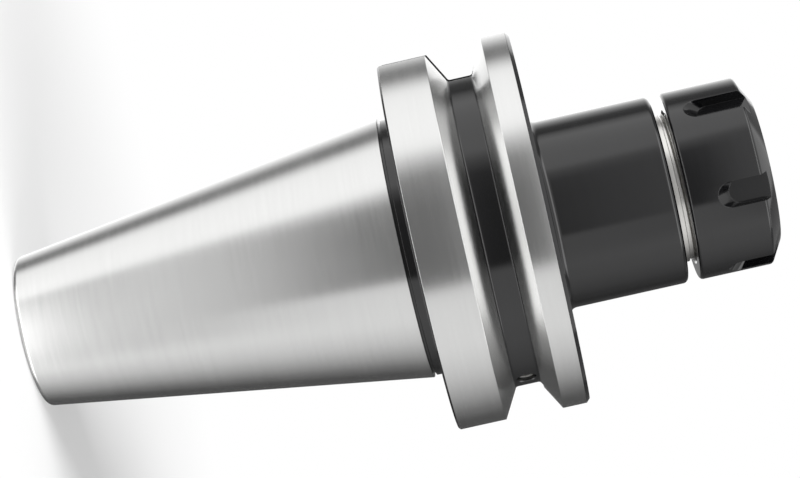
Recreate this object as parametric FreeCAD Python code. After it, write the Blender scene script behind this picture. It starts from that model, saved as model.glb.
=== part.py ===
import FreeCAD, Part
import math
import os
from FreeCAD import Vector

# Collet chuck holder with a 7:24 taper shank, size 50, and a seat for size 32 collets.
# Millimetres. +Z runs along the spindle axis, from the small end of the taper at z = 0 to the nut.

# ---------------------------------------------------------------- driving dimensions

# Taper shank
gauge_diameter = 69.85
taper_ratio = 7.0 / 24.0
shank_length = 101.8          # small end to gauge line
shank_end_round = 1.5
taper_stop = 0.4              # the ground cone ends this far short of the gauge line
neck_groove_width = 0.7
neck_groove_diameter = 67.4
collar_diameter = 68.8
collar_edge_break = 0.2

# Flange with the gripper groove
flange_offset = 3.0           # gauge line to the flange's rear face
flange_width = 35.0
flange_diameter = 100.0
flange_rear_chamfer = 0.55
flange_front_chamfer = 0.95
groove_offset = 20.2          # rear face to the middle of the groove
groove_width = 15.0           # across the rims
groove_depth = 7.5
groove_half_angle = 30.0
rim_edge_break = 0.2

# Drive slots
slot_count = 2
slot_width = 25.7
slot_floor_radius = 35.4
slot_length = 24.0            # from the flange's rear face
slot_corner_round = 1.0

# Nose and threaded spigot
nose_diameter = 50.0
nose_length = 32.0            # from the flange's front face
nose_root_fillet = 2.0
nose_end_round = 1.4
shoulder_band_diameter = 39.3
shoulder_band_length = 1.5
spigot_length = 15.0          # from the nose's end, with the shoulder band
spigot_end_chamfer = 0.9
thread_pitch = 1.5
thread_pitch_diameter = 39.026

# Collet seat and the bores behind it
seat_mouth_diameter = 33.0
seat_half_angle = 8.0
seat_depth = 36.0
seat_mouth_chamfer = 0.5
relief_bore_diameter = 22.0
relief_bore_depth = 62.0      # from the spigot's end
coolant_bore_diameter = 12.0
drill_point_half_angle = 59.0

# Pull stud socket in the small end
stud_pilot_diameter = 25.0
stud_pilot_depth = 12.0
stud_mouth_chamfer = 0.8
stud_thread_pitch_diameter = 22.051
stud_thread_depth = 50.0      # from the small end

# Set screw that plugs the cross hole in the groove's floor
plug_diameter = 5.0
plug_length = 5.0
plug_recess = 1.0
plug_angle = -26.2            # about the axis, from the first drive slot
plug_edge_chamfer = 0.35
plug_socket_across_flats = 2.5
plug_socket_depth = 2.2
plug_clearance = 0.03

# Clamping nut
nut_gap = 3.0                 # nose end to the nut's back face
nut_length = 22.5
nut_diameter = 50.0
nut_back_round = 1.0
nut_front_face_diameter = 39.0
nut_bevel_angle = 30.0        # from the plane of the front face
nut_bevel_round = 1.1
nut_face_round = 0.4
nut_thread_length = 12.0      # from the back face
nut_thread_lead_in = 1.05
nut_undercut_diameter = 40.8
nut_front_wall = 2.2
nut_mouth_diameter = 29.8
nut_mouth_chamfer = 0.4
thread_clearance = 0.06       # radial

# Spanner slots round the nut
spanner_slot_count = 6
spanner_slot_width = 6.8
spanner_slot_depth = 3.0
spanner_slot_length = 15.0    # from the front face to the tip of the run-out
long_slot_count = 3           # neighbouring slots cut longer, to balance the eccentric extractor ring
long_slot_length = 18.2
spanner_slot_ramp = 3.1       # axial length of the run-out
spanner_slot_angle = 96.8     # first long slot, about the axis

# Extractor ring inside the nut, and the wire that keeps it there
ring_length = 6.4
ring_diameter = 34.3
ring_clearance = 0.06         # radial, in the nut's pocket
ring_seat_diameter = 32.4     # large end of the 30 degree seat
ring_seat_half_angle = 30.0
ring_lip_diameter = 27.8
ring_lip_offset = 0.6         # the lip is eccentric by this much
ring_front_bore_diameter = 29.4
wire_thickness = 1.0          # square section
wire_clearance = 0.1
wire_gap_angle = 24.0
wire_position = 2.2           # from the ring's back face to the middle of the wire

# ---------------------------------------------------------------- derived places

axis_up = Vector(0, 0, 1)
gauge_z = shank_length
flange_back_z = gauge_z + flange_offset
flange_front_z = flange_back_z + flange_width
groove_z = flange_back_z + groove_offset
groove_floor_diameter = flange_diameter - 2 * groove_depth
groove_floor_width = groove_width - 2 * groove_depth * math.tan(math.radians(groove_half_angle))
nose_end_z = flange_front_z + nose_length
spigot_end_z = nose_end_z + spigot_length
nut_back_z = nose_end_z + nut_gap
nut_front_z = nut_back_z + nut_length
nut_bore_radius = thread_pitch_diameter / 2 + thread_clearance
nut_slot_floor_radius = nut_diameter / 2 - spanner_slot_depth
ring_front_z = nut_front_z - nut_front_wall
ring_back_z = ring_front_z - ring_length
wire_z = ring_back_z + wire_position
wire_radius = ring_diameter / 2 + ring_clearance / 2


def taper_radius(z):
    """Radius of the 7:24 cone at height z."""
    return gauge_diameter / 2 - (gauge_z - z) * taper_ratio / 2


# ---------------------------------------------------------------- helpers

def rounded_outline(corners):
    """Closed wire in the XZ plane through (radius, z, rounding) corners."""
    points = [Vector(r, 0, z) for r, z, _ in corners]
    starts, ends, middles = [], [], []
    for i, (_, _, rounding) in enumerate(corners):
        here = points[i]
        back = (points[i - 1] - here).normalize()
        ahead = (points[(i + 1) % len(points)] - here).normalize()
        half = back.getAngle(ahead) / 2
        reach = rounding / math.tan(half)
        starts.append(here + back * reach)
        ends.append(here + ahead * reach)
        to_middle = rounding / math.sin(half) - rounding
        middles.append(here + (back + ahead).normalize() * to_middle if rounding else here)
    edges = []
    for i, (_, _, rounding) in enumerate(corners):
        if rounding:
            edges.append(Part.Arc(starts[i], middles[i], ends[i]).toShape())
        following = starts[(i + 1) % len(corners)]
        edges.append(Part.makeLine(ends[i], following))
    return Part.Wire(edges)


def turned(corners):
    """Solid of revolution about Z of a rounded outline."""
    return Part.Face(rounded_outline(corners)).revolve(Vector(0, 0, 0), axis_up, 360)


def around_axis(shape, count, first_angle=0.0):
    """Copies of a shape, evenly spaced about Z."""
    copies = []
    for i in range(count):
        copy = shape.copy()
        copy.rotate(Vector(0, 0, 0), axis_up, first_angle + 360.0 * i / count)
        copies.append(copy)
    return copies


def radial_cylinder(radius, inner, outer, z, angle):
    """Cylinder that points away from the axis, between two distances from it."""
    cylinder = Part.makeCylinder(radius, outer - inner, Vector(inner, 0, z), Vector(1, 0, 0))
    cylinder.rotate(Vector(0, 0, 0), axis_up, angle)
    return cylinder


# ---------------------------------------------------------------- holder body

def shank_and_flange_corners():
    """Outside of the body, from the small end up to the nose."""
    cone_end_z = gauge_z - taper_stop
    collar_z = cone_end_z + neck_groove_width
    flange_radius = flange_diameter / 2
    collar_radius = collar_diameter / 2
    groove_low = groove_z - groove_width / 2
    groove_high = groove_z + groove_width / 2
    floor_radius = groove_floor_diameter / 2
    break_run = rim_edge_break * math.tan(math.radians(groove_half_angle))
    return [
        (taper_radius(0), 0, shank_end_round),
        (taper_radius(cone_end_z), cone_end_z, 0),
        (neck_groove_diameter / 2, cone_end_z, 0),
        (neck_groove_diameter / 2, collar_z, 0),
        (collar_radius - collar_edge_break, collar_z, 0),
        (collar_radius, collar_z + collar_edge_break, 0),
        (collar_radius, flange_back_z, 0),
        (flange_radius - flange_rear_chamfer, flange_back_z, 0),
        (flange_radius, flange_back_z + flange_rear_chamfer, 0),
        (flange_radius, groove_low - rim_edge_break, 0),
        (flange_radius - rim_edge_break, groove_low + break_run, 0),
        (floor_radius, groove_z - groove_floor_width / 2, 0),
        (floor_radius, groove_z + groove_floor_width / 2, 0),
        (flange_radius - rim_edge_break, groove_high - break_run, 0),
        (flange_radius, groove_high + rim_edge_break, 0),
        (flange_radius, flange_front_z - flange_front_chamfer, 0),
        (flange_radius - flange_front_chamfer, flange_front_z, 0),
    ]


def nose_and_spigot_corners():
    """Outside of the nose and of the spigot, whose thread stands at its pitch diameter."""
    nose_radius = nose_diameter / 2
    band_radius = shoulder_band_diameter / 2
    band_z = nose_end_z + shoulder_band_length
    thread_radius = thread_pitch_diameter / 2
    return [
        (nose_radius, flange_front_z, nose_root_fillet),
        (nose_radius, nose_end_z, nose_end_round),
        (band_radius, nose_end_z, 0),
        (band_radius, band_z, 0),
        (thread_radius, band_z, 0),
        (thread_radius, spigot_end_z - spigot_end_chamfer, 0),
        (thread_radius - spigot_end_chamfer, spigot_end_z, 0),
    ]


def bore_corners():
    """Inside of the body, from the collet seat back to the pull stud socket."""
    mouth_radius = seat_mouth_diameter / 2
    seat_slope = math.tan(math.radians(seat_half_angle))
    seat_back_z = spigot_end_z - seat_depth
    seat_back_radius = mouth_radius - seat_depth * seat_slope
    point_slope = math.tan(math.radians(drill_point_half_angle))
    relief_radius = relief_bore_diameter / 2
    relief_end_z = spigot_end_z - relief_bore_depth
    coolant_radius = coolant_bore_diameter / 2
    stud_radius = stud_thread_pitch_diameter / 2
    pilot_radius = stud_pilot_diameter / 2
    chamfer_depth = seat_mouth_chamfer * (1 + seat_slope)
    return [
        (mouth_radius + seat_mouth_chamfer, spigot_end_z, 0),
        (mouth_radius - chamfer_depth * seat_slope, spigot_end_z - chamfer_depth, 0),
        (seat_back_radius, seat_back_z, 0),
        (relief_radius, seat_back_z, 0),
        (relief_radius, relief_end_z, 0),
        (coolant_radius, relief_end_z - (relief_radius - coolant_radius) / point_slope, 0),
        (coolant_radius, stud_thread_depth + (stud_radius - coolant_radius) / point_slope, 0),
        (stud_radius, stud_thread_depth, 0),
        (stud_radius, stud_pilot_depth, 0),
        (pilot_radius, stud_pilot_depth, 0),
        (pilot_radius, stud_mouth_chamfer, 0),
        (pilot_radius + stud_mouth_chamfer, 0, 0),
    ]


def drive_slot():
    """Cutter for one drive slot, open to the rear and outwards, with rounded floor corners."""
    reach = flange_diameter / 2 + slot_corner_round - slot_floor_radius
    start = Vector(slot_floor_radius, -slot_width / 2, flange_back_z - slot_corner_round)
    cutter = Part.makeBox(reach, slot_width, slot_length + slot_corner_round, start)
    floor_edges = []
    for edge in cutter.Edges:
        middle = edge.CenterOfMass
        at_floor = abs(middle.x - slot_floor_radius) < slot_corner_round / 2
        at_side = abs(abs(middle.y) - slot_width / 2) < slot_corner_round / 2
        if at_floor and at_side:
            floor_edges.append(edge)
    return cutter.makeFillet(slot_corner_round, floor_edges)


def plug_hole_floor():
    """Distance of the plug hole's floor from the axis."""
    return groove_floor_diameter / 2 - plug_recess - plug_length


def holder_body():
    """The one-piece body: taper shank, grooved flange, nose and threaded spigot."""
    corners = shank_and_flange_corners() + nose_and_spigot_corners() + bore_corners()
    body = turned(corners)
    plug_hole = radial_cylinder(plug_diameter / 2, plug_hole_floor(), flange_diameter / 2, groove_z, plug_angle)
    return body.cut(around_axis(drive_slot(), slot_count) + [plug_hole])


# ---------------------------------------------------------------- plug screw

def groove_plug_screw():
    """Headless set screw with a hexagon socket, seated on the floor of its hole."""
    radius = plug_diameter / 2 - plug_clearance
    inner = plug_hole_floor()
    outer = inner + plug_length
    screw = Part.makeCylinder(radius, plug_length, Vector(inner, 0, groove_z), Vector(1, 0, 0))
    rims = [edge for edge in screw.Edges if abs(edge.CenterOfMass.x - outer) < plug_edge_chamfer / 2]
    screw = screw.makeChamfer(plug_edge_chamfer, rims)
    corner_radius = plug_socket_across_flats / math.sqrt(3)
    corners = []
    for i in range(7):
        turn = math.radians(60 * i)
        offset = Vector(0, corner_radius * math.cos(turn), corner_radius * math.sin(turn))
        corners.append(Vector(outer - plug_socket_depth, 0, groove_z) + offset)
    socket = Part.Face(Part.makePolygon(corners)).extrude(Vector(plug_socket_depth + plug_recess, 0, 0))
    screw = screw.cut(socket)
    screw.rotate(Vector(0, 0, 0), axis_up, plug_angle)
    return screw


# ---------------------------------------------------------------- clamping nut

def spanner_slot(length):
    """Cutter for one spanner slot: a flat-floored channel whose tip ramps out to the rim."""
    half_width = spanner_slot_width / 2
    floor = nut_slot_floor_radius
    height = spanner_slot_depth + half_width
    run = height * spanner_slot_ramp / spanner_slot_depth
    centre_z = nut_front_z - length + spanner_slot_ramp + half_width
    start = Vector(floor, 0, centre_z)
    upright = Part.makeCylinder(half_width, height, start, Vector(1, 0, 0))
    disc = Part.Face(Part.Wire(Part.makeCircle(half_width, start, Vector(1, 0, 0))))
    sloped = disc.extrude(Vector(height, 0, -run))
    wedge_corners = [start, start + Vector(height, 0, 0), start + Vector(height, 0, -run), start]
    wedge = Part.Face(Part.makePolygon(wedge_corners)).extrude(Vector(0, spanner_slot_width, 0))
    wedge.translate(Vector(0, -half_width, 0))
    channel_length = nut_front_z - centre_z + half_width
    channel = Part.makeBox(height, spanner_slot_width, channel_length, start - Vector(0, half_width, 0))
    return upright.fuse([sloped, wedge, channel]).removeSplitter()


def clamping_nut():
    """Round nut with spanner slots, a pocket for the extractor ring and a groove for its wire."""
    radius = nut_diameter / 2
    face_radius = nut_front_face_diameter / 2
    bevel_length = (radius - face_radius) * math.tan(math.radians(nut_bevel_angle))
    mouth_radius = nut_mouth_diameter / 2
    pocket_radius = ring_diameter / 2 + ring_clearance
    groove_radius = wire_radius + wire_thickness / 2 + wire_clearance
    groove_half = wire_thickness / 2 + wire_clearance
    undercut_radius = nut_undercut_diameter / 2
    thread_end_z = nut_back_z + nut_thread_length
    nut = turned([
        (nut_bore_radius + nut_thread_lead_in, nut_back_z, 0),
        (radius, nut_back_z, nut_back_round),
        (radius, nut_front_z - bevel_length, nut_bevel_round),
        (face_radius, nut_front_z, nut_face_round),
        (mouth_radius + nut_mouth_chamfer, nut_front_z, 0),
        (mouth_radius, nut_front_z - nut_mouth_chamfer, 0),
        (mouth_radius, ring_front_z, 0),
        (pocket_radius, ring_front_z, 0),
        (pocket_radius, wire_z + groove_half, 0),
        (groove_radius, wire_z + groove_half, 0),
        (groove_radius, wire_z - groove_half, 0),
        (pocket_radius, wire_z - groove_half, 0),
        (pocket_radius, ring_back_z, 0),
        (undercut_radius, ring_back_z, 0),
        (undercut_radius, thread_end_z, 0),
        (nut_bore_radius, thread_end_z, 0),
        (nut_bore_radius, nut_back_z + nut_thread_lead_in, 0),
    ])
    slots = around_axis(spanner_slot(spanner_slot_length), spanner_slot_count, spanner_slot_angle)
    long_slots = around_axis(spanner_slot(long_slot_length), spanner_slot_count, spanner_slot_angle)
    return nut.cut(long_slots[:long_slot_count] + slots[long_slot_count:])


# ---------------------------------------------------------------- extractor ring and wire

def extractor_ring():
    """Ring with a 30 degree seat for the collet's face and an eccentric lip for its groove."""
    radius = ring_diameter / 2
    seat_radius = ring_seat_diameter / 2
    seat_slope = math.tan(math.radians(ring_seat_half_angle))
    lip_radius = ring_lip_diameter / 2 - ring_lip_offset
    lip_z = ring_back_z + (seat_radius - lip_radius) / seat_slope
    front_radius = ring_front_bore_diameter / 2
    groove_radius = wire_radius - wire_thickness / 2 - wire_clearance
    groove_half = wire_thickness / 2 + wire_clearance
    ring = turned([
        (seat_radius, ring_back_z, 0),
        (radius, ring_back_z, 0),
        (radius, wire_z - groove_half, 0),
        (groove_radius, wire_z - groove_half, 0),
        (groove_radius, wire_z + groove_half, 0),
        (radius, wire_z + groove_half, 0),
        (radius, ring_front_z, 0),
        (front_radius, ring_front_z, 0),
        (front_radius, lip_z, 0),
        (lip_radius, lip_z, 0),
    ])
    start = Vector(ring_lip_offset, 0, ring_back_z)
    return ring.cut(Part.makeCylinder(ring_lip_diameter / 2, ring_length, start))


def retaining_wire():
    """Open ring of square wire, half in the nut and half in the extractor ring."""
    inner, outer = wire_radius - wire_thickness / 2, wire_radius + wire_thickness / 2
    low, high = wire_z - wire_thickness / 2, wire_z + wire_thickness / 2
    section = rounded_outline([(inner, low, 0), (outer, low, 0), (outer, high, 0), (inner, high, 0)])
    return Part.Face(section).revolve(Vector(0, 0, 0), axis_up, 360 - wire_gap_angle)


# ---------------------------------------------------------------- export

pieces = {
    "holder_body": holder_body,
    "groove_plug_screw": groove_plug_screw,
    "clamping_nut": clamping_nut,
    "extractor_ring": extractor_ring,
    "retaining_wire": retaining_wire,
}

os.makedirs("parts", exist_ok=True)
for name, make in pieces.items():
    shape = make()
    solid = shape.Solids[0]
    if len(shape.Solids) != 1 or not solid.isValid():
        raise RuntimeError(name + " is not one valid solid")
    solid.exportStep("parts/" + name + ".step")
    box = solid.BoundBox
    print(name, round(solid.Volume), "mm3, z", round(box.ZMin, 3), "to", round(box.ZMax, 3))
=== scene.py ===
"""Looks of a collet chuck holder with a 7:24 taper shank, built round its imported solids.

All lengths are in metres. +Z is the spindle axis: z = 0 is the small end of the shank, and the nut is on top.
"""

import math
from collections import namedtuple

import bmesh
import bpy
from bpy.props import FloatProperty, FloatVectorProperty, IntProperty, PointerProperty
from mathutils import Matrix, Vector


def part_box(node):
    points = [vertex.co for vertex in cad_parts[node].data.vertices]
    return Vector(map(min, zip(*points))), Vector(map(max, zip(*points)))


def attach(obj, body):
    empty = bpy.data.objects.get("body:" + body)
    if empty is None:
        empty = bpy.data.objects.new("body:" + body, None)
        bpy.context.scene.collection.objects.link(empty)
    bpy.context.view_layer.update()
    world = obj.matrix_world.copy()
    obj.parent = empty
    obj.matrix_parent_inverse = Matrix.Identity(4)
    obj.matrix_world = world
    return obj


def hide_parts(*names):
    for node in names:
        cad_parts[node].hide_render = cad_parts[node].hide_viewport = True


bl_info = {
    "name": "Collet Chuck Holder",
    "version": (1, 0, 0),
    "blender": (4, 5, 0),
    "location": "3D View > Sidebar > Collet Holder",
    "description": "Builds the holder body, its nut and their threads, with ground and blackened finishes",
    "category": "Add Mesh",
}

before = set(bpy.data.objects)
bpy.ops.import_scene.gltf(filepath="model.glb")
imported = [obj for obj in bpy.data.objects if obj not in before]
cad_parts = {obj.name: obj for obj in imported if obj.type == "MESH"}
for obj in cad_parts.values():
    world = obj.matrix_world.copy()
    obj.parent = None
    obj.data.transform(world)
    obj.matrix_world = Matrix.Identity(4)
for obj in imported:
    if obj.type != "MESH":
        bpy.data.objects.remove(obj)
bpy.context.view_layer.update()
body_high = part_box("holder_body")[1]
nut_low, nut_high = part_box("clamping_nut")
ring_low, ring_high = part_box("extractor_ring")
wire_low, wire_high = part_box("retaining_wire")
plug_low, plug_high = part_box("groove_plug_screw")

BLACKENED, GROUND, BARE = 0, 1, 2
SMOOTH_ANGLE = math.radians(32)
DRILL_HALF_ANGLE = math.radians(59)
CUT_PAST = 0.002
THREAD_SINK = 0.00004
THREAD_FLANK_ANGLE = math.radians(30)


# ---------------------------------------------------------------- sizes and colours that a user would change

def length(name, description, default):
    """A length property in metres."""
    return FloatProperty(name=name, description=description, default=default, min=0.0, precision=5, unit="LENGTH")


def angle(name, description, degrees):
    """An angle property, given in degrees."""
    return FloatProperty(name=name, description=description, default=math.radians(degrees), subtype="ANGLE")


def colour(name, description, default):
    """A colour property."""
    return FloatVectorProperty(name=name, description=description, default=default, size=3, min=0.0, max=1.0,
                               subtype="COLOR")


def factor(name, description, default):
    """A plain number from 0 to 1."""
    return FloatProperty(name=name, description=description, default=default, min=0.0, max=1.0, subtype="FACTOR")


class ShankSizes(bpy.types.PropertyGroup):
    """The taper shank, its collar and the pull stud socket."""
    gauge_diameter: length("Gauge Diameter", "Diameter of the cone at the gauge line", 0.06985)
    taper: factor("Taper", "Change of the cone's diameter over its length", 7 / 24)
    shank_length: length("Shank Length", "Small end to gauge line", 0.1018)
    end_round: length("Small End Round", "Rounding of the cone's small end", 0.0015)
    cone_stop: length("Cone Stop", "Distance of the ground cone's end from the gauge line", 0.0004)
    groove_width: length("Neck Groove Width", "Width of the grinding groove before the collar", 0.0007)
    groove_diameter: length("Neck Groove Diameter", "Diameter of the grinding groove", 0.0674)
    collar_diameter: length("Collar Diameter", "Diameter of the collar behind the flange", 0.0688)
    stud_pilot_diameter: length("Stud Pilot Diameter", "Diameter of the pull stud's pilot bore", 0.025)
    stud_pilot_depth: length("Stud Pilot Depth", "Depth of the pull stud's pilot bore", 0.012)
    stud_mouth_chamfer: length("Stud Mouth Chamfer", "Chamfer of the pilot bore's mouth", 0.0008)
    stud_depth: length("Stud Thread Depth", "Depth of the stud's thread from the small end", 0.050)
    coolant_diameter: length("Coolant Bore Diameter", "Diameter of the bore through the shank", 0.012)


class FlangeSizes(bpy.types.PropertyGroup):
    """The drive flange with the gripper groove, the drive slots and the plug hole."""
    offset: length("Flange Offset", "Gauge line to the flange's rear face", 0.003)
    diameter: length("Flange Diameter", "Outside diameter of the flange", 2 * body_high.x)
    width: length("Flange Width", "Rear face to front face", 0.035)
    rear_chamfer: length("Rear Chamfer", "Chamfer at the rear face", 0.00055)
    front_chamfer: length("Front Chamfer", "Chamfer at the front face", 0.00095)
    groove_offset: length("Groove Offset", "Rear face to the middle of the groove", 0.0202)
    groove_width: length("Groove Width", "Width of the groove across its rims", 0.015)
    groove_depth: length("Groove Depth", "Depth of the groove below the rims", 0.0075)
    groove_angle: angle("Groove Flank Angle", "Angle of a flank from the plane of the flange", 30)
    rim_round: length("Rim Round", "Rounding of the groove's rims", 0.00022)
    root_round: length("Root Round", "Rounding beside the groove's floor", 0.0008)
    slot_width: length("Drive Slot Width", "Width of a drive slot", 0.0257)
    slot_floor: length("Drive Slot Floor", "Distance of a slot's floor from the axis", 0.0354)
    slot_length: length("Drive Slot Length", "Length of a slot from the rear face", 0.024)
    slot_corner: length("Drive Slot Corner", "Rounding of a slot's floor corners", 0.001)
    slot_count: IntProperty(name="Drive Slots", description="Number of drive slots", default=2, min=1)
    plug_diameter: length("Plug Hole Diameter", "Diameter of the plug screw's hole", 0.005)
    plug_chamfer: length("Plug Hole Chamfer", "Countersink of the plug screw's hole", 0.0003)


class NoseSizes(bpy.types.PropertyGroup):
    """The nose, the threaded spigot and the collet seat."""
    diameter: length("Nose Diameter", "Outside diameter of the nose", 2 * nut_high.x)
    nose_length: length("Nose Length", "Flange's front face to the nose's end", 0.032)
    root_fillet: length("Nose Root Fillet", "Fillet between the nose and the flange", 0.002)
    end_round: length("Nose End Round", "Rounding of the nose's end", 0.0014)
    band_diameter: length("Shoulder Band Diameter", "Diameter of the ground band behind the thread", 0.0393)
    band_length: length("Shoulder Band Length", "Length of that band", 0.0015)
    end_chamfer: length("Spigot End Chamfer", "Chamfer of the spigot's end", 0.0009)
    seat_mouth: length("Seat Mouth Diameter", "Diameter of the collet seat at the spigot's end", 0.033)
    seat_angle: angle("Seat Half Angle", "Half angle of the collet seat", 8)
    seat_depth: length("Seat Depth", "Depth of the collet seat", 0.036)
    relief_diameter: length("Relief Bore Diameter", "Diameter of the bore behind the seat", 0.022)
    relief_depth: length("Relief Bore Depth", "Depth of that bore from the spigot's end", 0.062)


class NutSizes(bpy.types.PropertyGroup):
    """The clamping nut."""
    back_round: length("Back Round", "Rounding of the nut's back rim", 0.001)
    face_diameter: length("Front Face Diameter", "Diameter of the flat front face", 0.039)
    bevel_angle: angle("Bevel Angle", "Angle of the front bevel from the front face", 30)
    bevel_round: length("Bevel Round", "Rounding between the rim and the bevel", 0.0011)
    face_round: length("Face Round", "Rounding between the bevel and the front face", 0.0004)
    thread_length: length("Thread Length", "Length of the nut's thread from its back face", 0.012)
    undercut_diameter: length("Undercut Diameter", "Diameter of the undercut behind the thread", 0.0408)
    mouth_diameter: length("Mouth Diameter", "Diameter of the opening for the collet", 0.0298)
    mouth_chamfer: length("Mouth Chamfer", "Chamfer of that opening", 0.0004)
    ring_clearance: length("Ring Clearance", "Radial clearance of the extractor ring's pocket", 0.00006)
    wire_clearance: length("Wire Clearance", "Clearance of the retaining wire's groove", 0.0001)
    slot_count: IntProperty(name="Spanner Slots", description="Number of spanner slots", default=6, min=1)
    slot_width: length("Spanner Slot Width", "Width of a spanner slot", 0.0068)
    slot_depth: length("Spanner Slot Depth", "Depth of a spanner slot", 0.003)
    slot_length: length("Spanner Slot Length", "Front face to the tip of the slot's run-out", 0.015)
    long_slot_count: IntProperty(name="Long Spanner Slots", description="Neighbouring slots that are cut longer",
                                 default=3, min=1)
    long_slot_length: length("Long Spanner Slot Length", "Front face to the tip of a long slot's run-out", 0.0182)
    slot_ramp: length("Spanner Slot Ramp", "Length of the run-out", 0.0031)
    slot_angle: angle("Spanner Slot Angle", "First long slot, about the axis", 96.8)


class ThreadSizes(bpy.types.PropertyGroup):
    """The three screw threads."""
    pitch: length("Nut Thread Pitch", "Pitch of the nut's thread", 0.0015)
    crest: length("Spigot Crest Radius", "Radius over the spigot's thread", 0.020)
    root: length("Spigot Root Radius", "Radius at the root of the spigot's thread", 0.01908)
    clearance: length("Thread Clearance", "Radial clearance between the nut's and the spigot's thread", 0.00005)
    stud_pitch: length("Stud Thread Pitch", "Pitch of the pull stud's thread", 0.003)
    stud_root: length("Stud Root Radius", "Radius at the root of the stud's inside thread", 0.012)
    stud_crest: length("Stud Crest Radius", "Radius at the crest of the stud's inside thread", 0.01038)


class FinishColours(bpy.types.PropertyGroup):
    """Colours of the finishes."""
    ground: colour("Ground Steel", "Fine-ground hardened steel", (0.57, 0.57, 0.565))
    bare: colour("Bare Steel", "Bare turned steel of the threads and bores", (0.62, 0.61, 0.59))
    blackened: colour("Blackened Steel", "Oiled black oxide", (0.004, 0.004, 0.0045))
    floor: colour("Floor", "Floor under the holder", (0.86, 0.86, 0.86))


class StudioSettings(bpy.types.PropertyGroup):
    """Camera, floor, lamps and the light tent."""
    bearing: angle("Camera Bearing", "Turn of the view about the axis", 4.2)
    roll: angle("Camera Roll", "Rise of the axis to the right in the view", 12.67)
    distance: length("Camera Distance", "Distance of the camera from the axis", 0.6562)
    camera_height: length("Camera Height", "Height of the camera above the floor", 0.1299)
    target_height: length("Target Height", "Height of the point that the camera looks at", 0.1003)
    target_offset: length("Target Offset", "Distance of that point from the axis", 0.0027)
    focal_length: FloatProperty(name="Focal Length", description="Focal length in millimetres", default=111.97)
    tent_radius: length("Tent Radius", "Radius of the light tent", 1.1)
    tent_height: length("Tent Height", "Height of the light tent above and below the holder", 1.5)
    edge_strip: FloatProperty(name="Edge Strip", description="Strength of the strips above and below the camera",
                              default=3.0)
    far_strip: FloatProperty(name="Far Strip", description="Strength of the strips on the far side", default=0.3)
    world_fill: factor("World Fill", "Strength of the world for what isn't glossy", 0.55)
    key_power: FloatProperty(name="Key Power", description="Power of the key lamp", default=9.0, unit="POWER")
    floor_fade: length("Floor Fade", "Distance at which the floor has become the white background", 0.30)


class ColletHolderSettings(bpy.types.PropertyGroup):
    """Everything a user would change."""
    shank: PointerProperty(type=ShankSizes)
    flange: PointerProperty(type=FlangeSizes)
    nose: PointerProperty(type=NoseSizes)
    nut: PointerProperty(type=NutSizes)
    thread: PointerProperty(type=ThreadSizes)
    colours: PointerProperty(type=FinishColours)
    studio: PointerProperty(type=StudioSettings)


# ---------------------------------------------------------------- outlines and meshes

def finished_mesh(name, bm):
    """Mesh made from a bmesh, which is freed."""
    mesh = bpy.data.meshes.new(name)
    bm.to_mesh(mesh)
    bm.free()
    return mesh


def add_object(name, data):
    """Links a mesh, a camera or a lamp to the scene as a new object."""
    obj = bpy.data.objects.new(name, data)
    bpy.context.scene.collection.objects.link(obj)
    return obj


def remove_object(obj):
    """Deletes a helper object with its mesh."""
    mesh = obj.data
    bpy.data.objects.remove(obj)
    bpy.data.meshes.remove(mesh)


Corner = namedtuple("Corner", "radius z rounding finish arc_finish", defaults=(0.0, BLACKENED, None))


def outline_points(corners, arc_step=math.radians(11)):
    """Points of a closed outline as (radius, z, finish of the stretch that follows), with roundings as arcs.

    A rounding has the finish of the stretch after it, unless it has its own.
    """
    points = []
    count = len(corners)
    for i, corner in enumerate(corners):
        here = Vector((corner.radius, corner.z))
        if not corner.rounding:
            points.append((here.x, here.y, corner.finish))
            continue
        before = Vector(corners[i - 1][:2]) - here
        after = Vector(corners[(i + 1) % count][:2]) - here
        before.normalize()
        after.normalize()
        half = before.angle(after) / 2
        reach = corner.rounding / math.tan(half)
        centre = here + (before + after).normalized() * (corner.rounding / math.sin(half))
        start = here + before * reach - centre
        turn = (here + after * reach - centre).angle_signed(start)
        steps = max(2, math.ceil(abs(turn) / arc_step))
        arc_finish = corner.finish if corner.arc_finish is None else corner.arc_finish
        for k in range(steps + 1):
            point = centre + Matrix.Rotation(turn * k / steps, 2) @ start
            points.append((point.x, point.y, corner.finish if k == steps else arc_finish))
    return points


def turned_mesh(name, corners, steps):
    """Mesh of revolution about Z. The outline runs anticlockwise, so that faces point out of the metal."""
    bm = bmesh.new()
    finish = bm.faces.layers.int.new("finish")
    angles = [2 * math.pi * k / steps for k in range(steps)]
    points = outline_points(corners)
    rings = [[bm.verts.new((r * math.cos(a), r * math.sin(a), z)) for a in angles] for r, z, _ in points]
    for i, ring in enumerate(rings):
        above = rings[(i + 1) % len(rings)]
        for k in range(steps):
            after = (k + 1) % steps
            face = bm.faces.new((ring[k], ring[after], above[after], above[k]))
            face[finish] = points[i][2]
    return finished_mesh(name, bm)


def lofted_mesh(name, loops):
    """Closed blackened solid through loops of as many points, with its faces outwards."""
    bm = bmesh.new()
    finish = bm.faces.layers.int.new("finish")
    rings = [[bm.verts.new(point) for point in loop] for loop in loops]
    bm.faces.new(rings[0])
    bm.faces.new(rings[-1])
    for low, high in zip(rings, rings[1:]):
        for k in range(len(low)):
            after = (k + 1) % len(low)
            bm.faces.new((low[k], low[after], high[after], high[k]))
    for face in bm.faces:
        face[finish] = BLACKENED
    bmesh.ops.recalc_face_normals(bm, faces=bm.faces)
    return finished_mesh(name, bm)


# ---------------------------------------------------------------- geometry node trees

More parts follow.
